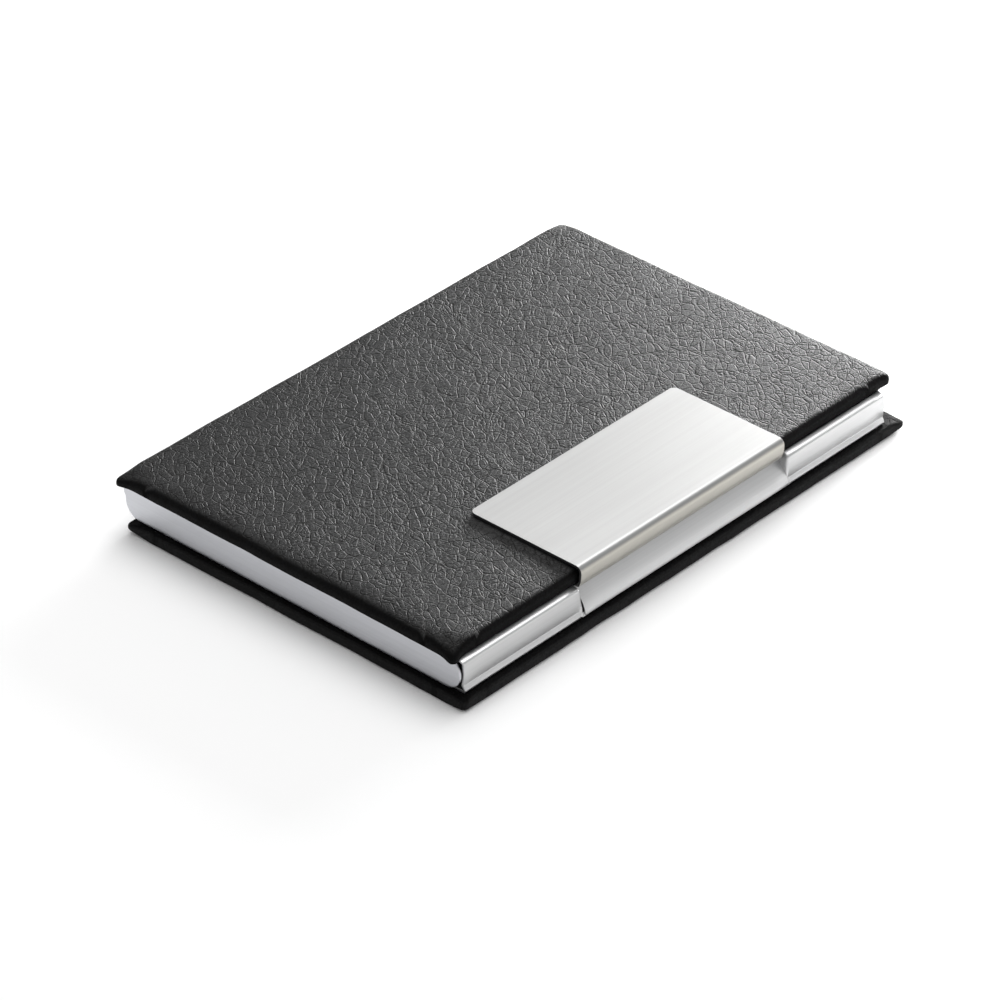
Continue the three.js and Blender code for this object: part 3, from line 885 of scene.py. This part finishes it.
lid_ears = {
    (-1, -1): ear(2.0, pinch=0.3, out=(0.3, 0.45), tip=1.5, sink=0.5, phase=0.6),
    (-1, 1): ear(2.0, pinch=0.4, out=(0.5, 0.5), tip=1.7, sink=0.2, phase=1.7),
    (1, -1): ear(1.5, pinch=0.3, reach=3.0, out=(0.15, 0.3), tip=1.7, phase=2.2, fold=0.02),
    (1, 1): ear(1.9, pinch=0.4, reach=4.0, out=(0.2, 0.2), tip=1.5, sink=0.1, phase=3.1, fold=0.03),
}
base_ears = {
    (-1, -1): ear(0.9, pinch=0.3, reach=2.5, out=(0.05, 0.15), tip=1.5, phase=0.4),
    (-1, 1): ear(1.05, pinch=0.7, reach=4.5, out=(0.2, 0.2), tip=1.4, phase=1.1),
    (1, -1): ear(1.15, pinch=0.75, reach=2.8, out=(0.35, 0.35), tip=1.3, phase=2.5, fold=0.03),
    (1, 1): ear(1.1, pinch=0.7, reach=4.0, out=(0.3, 0.3), tip=1.3, phase=0.2),
}

lid_cover = leather_cover(
    "lid_cover",
    "lid_leather",
    black_leather,
    LID_EDGE,
    LID_RIM,
    LID_CORNER,
    lid_ears,
    face_up=True,
    crown=LID_CROWN,
    slump=SLUMP,
)
# the base cover wears the shaded copy of the leather: painted shade
base_cover = leather_cover(
    "base_cover",
    "base_leather",
    shaded_leather_copy,
    BASE_EDGE,
    BASE_RIM,
    BASE_CORNER,
    base_ears,
    face_up=False,
)
steel_base = base_box(wall_steel)
# the lid's steel takes the shaded copy of the polished steel
steel_lid = lid_box(shaded_side_steel)
plate = name_plate(plate_steel)


def lid_padding():
    """The soft layer under the covering, with its edge rolled over the board."""
    low, high = span("lid_foam")
    half_x, half_y = (high[0] - low[0]) / 2, (high[1] - low[1]) / 2
    centre = (low + high) / 2
    thick = high[2] - low[2]
    xs = stations(half_x - PADDING_ROLL, fine=0.8, coarse=3.0, fine_width=3.2)
    ys = stations(half_y - PADDING_ROLL, fine=0.8, coarse=3.0, fine_width=3.2)
    rolled = [(PADDING_ROLL, 0.12), (2.0, 0.13), (1.2, 0.16), (0.6, 0.22), (0.2, 0.3), (0.0, 0.37)]
    profile = rolled + [(0.0, thick), (PADDING_ROLL, thick)]
    points, faces, _ = wrapped_sheet(xs, ys, half_x, half_y, BOARD_CORNER + 0.4, profile)
    flat = dict(out=(0, 0), sink=0, fold=0, pinch=0.6, depth=thick)
    fall = {key: dict(value, **flat) for key, value in lid_ears.items()}
    shaped = pull_corners(points, half_x, half_y, fall)
    across, along = shaped[:, 0] + centre[0], shaped[:, 1] + centre[1]
    placed = np.column_stack([across, along, high[2] - shaped[:, 2]])
    obj = new_object("lid_padding", placed, faces, padding)
    outward(obj)
    return obj


soft_layer = lid_padding()

for piece, body, node, slot in (
    (lid_cover, "lid", "lid_leather", "black_leather"),
    (base_cover, "base", "base_leather", "black_leather"),
    (steel_base, "base", "base_shell", "polished_steel"),
    (steel_lid, "lid", "lid_shell", "polished_steel"),
    (plate, "lid", "nameplate", "brushed_plate"),
    (soft_layer, "lid", "lid_foam", "foam"),
):
    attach(piece, body)
    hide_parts(node)

# ------------------------------------------------------------------ stage, light and camera

FLOOR_HALF = 1500
FLOOR_WHITE = 0.98

AZIMUTH = math.radians(-48.14)
ELEVATION = math.radians(33.88)
ROLL = math.radians(0.33)
TARGET = Vector((-0.00593, -0.00124, 0.0))
DISTANCE = 0.75526
FOCAL_LENGTH = 189.01
SENSOR_WIDTH = 36

# strength of the world: at the horizon from left to right of the view, and higher up
HORIZON_LEFT, HORIZON_RIGHT, HORIZON_SPAN = 0.0, 0.86, (-0.6, 0.8)
SKY, SKY_SPAN = 0.6, (0.15, 0.45)

floor_material = Nodes("floor_white")
set_shader(
    floor_material.shader,
    Base_Color=(FLOOR_WHITE, FLOOR_WHITE, FLOOR_WHITE, 1.0),
    Roughness=0.9,
    Specular_IOR_Level=0.0,
)
floor = new_object(
    "floor",
    [(x * FLOOR_HALF, y * FLOOR_HALF, 0) for x, y in ((-1, -1), (1, -1), (1, 1), (-1, 1))],
    [(0, 1, 2, 3)],
    floor_material.material,
    smooth=False,
)
floor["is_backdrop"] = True

back = Vector(
    (
        math.sin(AZIMUTH) * math.cos(ELEVATION),
        -math.cos(AZIMUTH) * math.cos(ELEVATION),
        math.sin(ELEVATION),
    )
)
flat_right = Vector((math.cos(AZIMUTH), math.sin(AZIMUTH), 0))
flat_up = back.cross(flat_right)
right = math.cos(ROLL) * flat_right + math.sin(ROLL) * flat_up
up = back.cross(right)
camera_data = bpy.data.cameras.new("camera")
camera_data.lens = FOCAL_LENGTH
camera_data.sensor_width = SENSOR_WIDTH
camera_data.clip_start = 0.01
camera_data.clip_end = 20
camera = bpy.data.objects.new("camera", camera_data)
bpy.context.scene.collection.objects.link(camera)
turn = Matrix((right, up, back)).transposed().to_4x4()
camera.matrix_world = Matrix.Translation(TARGET + back * DISTANCE) @ turn
bpy.context.scene.camera = camera


def area_light(name, place, aim, size_x, size_y, radiance):
    """A rectangular light of that radiance, so that its power follows from its size."""
    data = bpy.data.lights.new(name, "AREA")
    data.energy = radiance * math.pi * size_x * size_y
    data.shape = "RECTANGLE"
    data.size = size_x
    data.size_y = size_y
    obj = bpy.data.objects.new(name, data)
    bpy.context.scene.collection.objects.link(obj)
    obj.location = place
    obj.rotation_euler = (Vector(aim) - Vector(place)).to_track_quat("-Z", "Y").to_euler()


def toward(turn, elevation, distance):
    """A place that far away, behind the case as the camera sees it, `turn` degrees to the right."""
    t, e = math.radians(turn), math.radians(elevation)
    level = math.cos(t) * away + math.sin(t) * flat_right
    return (math.cos(e) * level + math.sin(e) * Vector((0, 0, 1))) * distance


away = Vector((-flat_right.y, flat_right.x, 0))
for name, turned, elevation, distance, aim, size_x, size_y, radiance in (
    ("overhead", 8, 62, 0.9, (0, 0, 0), 0.7, 0.7, 3.1),
    ("back", 24, 13, 0.24, (0.02, 0, 0), 0.14, 0.05, 19.0),
    ("back_right", 36, 14, 0.21, (0.02, 0, 0), 0.12, 0.05, 27.0),
):
    area_light(name, toward(turned, elevation, distance), aim, size_x, size_y, radiance)

world = bpy.data.worlds.new("studio")
world.use_nodes = True
bpy.context.scene.world = world
tree = world.node_tree
background = tree.nodes["Background"]
spot = tree.nodes.new("ShaderNodeTexCoord")


def world_node(kind, **values):
    node = tree.nodes.new(kind)
    for key, value in values.items():
        setattr(node, key, value)
    return node


def ramp(value, low, high, start, end):
    node = world_node("ShaderNodeMapRange", interpolation_type="SMOOTHSTEP")
    set_range(node, low, high, start, end)
    tree.links.new(value, node.inputs["Value"])
    return node.outputs[0]


side = world_node("ShaderNodeVectorMath", operation="DOT_PRODUCT")
side.inputs[1].default_value = flat_right
tree.links.new(spot.outputs["Generated"], side.inputs[0])
height = world_node("ShaderNodeSeparateXYZ")
tree.links.new(spot.outputs["Generated"], height.inputs[0])
horizon = ramp(side.outputs["Value"], *HORIZON_SPAN, HORIZON_LEFT, HORIZON_RIGHT)
level = world_node("ShaderNodeMix", data_type="FLOAT")
tree.links.new(ramp(height.outputs["Z"], *SKY_SPAN, 0.0, 1.0), level.inputs[0])
tree.links.new(horizon, level.inputs[2])
level.inputs[3].default_value = SKY
tree.links.new(level.outputs[0], background.inputs["Strength"])
background.inputs["Color"].default_value = (1.0, 1.0, 1.0, 1.0)

scene = bpy.context.scene
scene.view_settings.view_transform = "Standard"
scene.view_settings.look = "None"
scene.cycles.use_denoising = True

boxes = {"cad": cad_box, "visual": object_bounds()}
rows = {key: [[float(c) for c in corner] for corner in box] for key, box in boxes.items()}
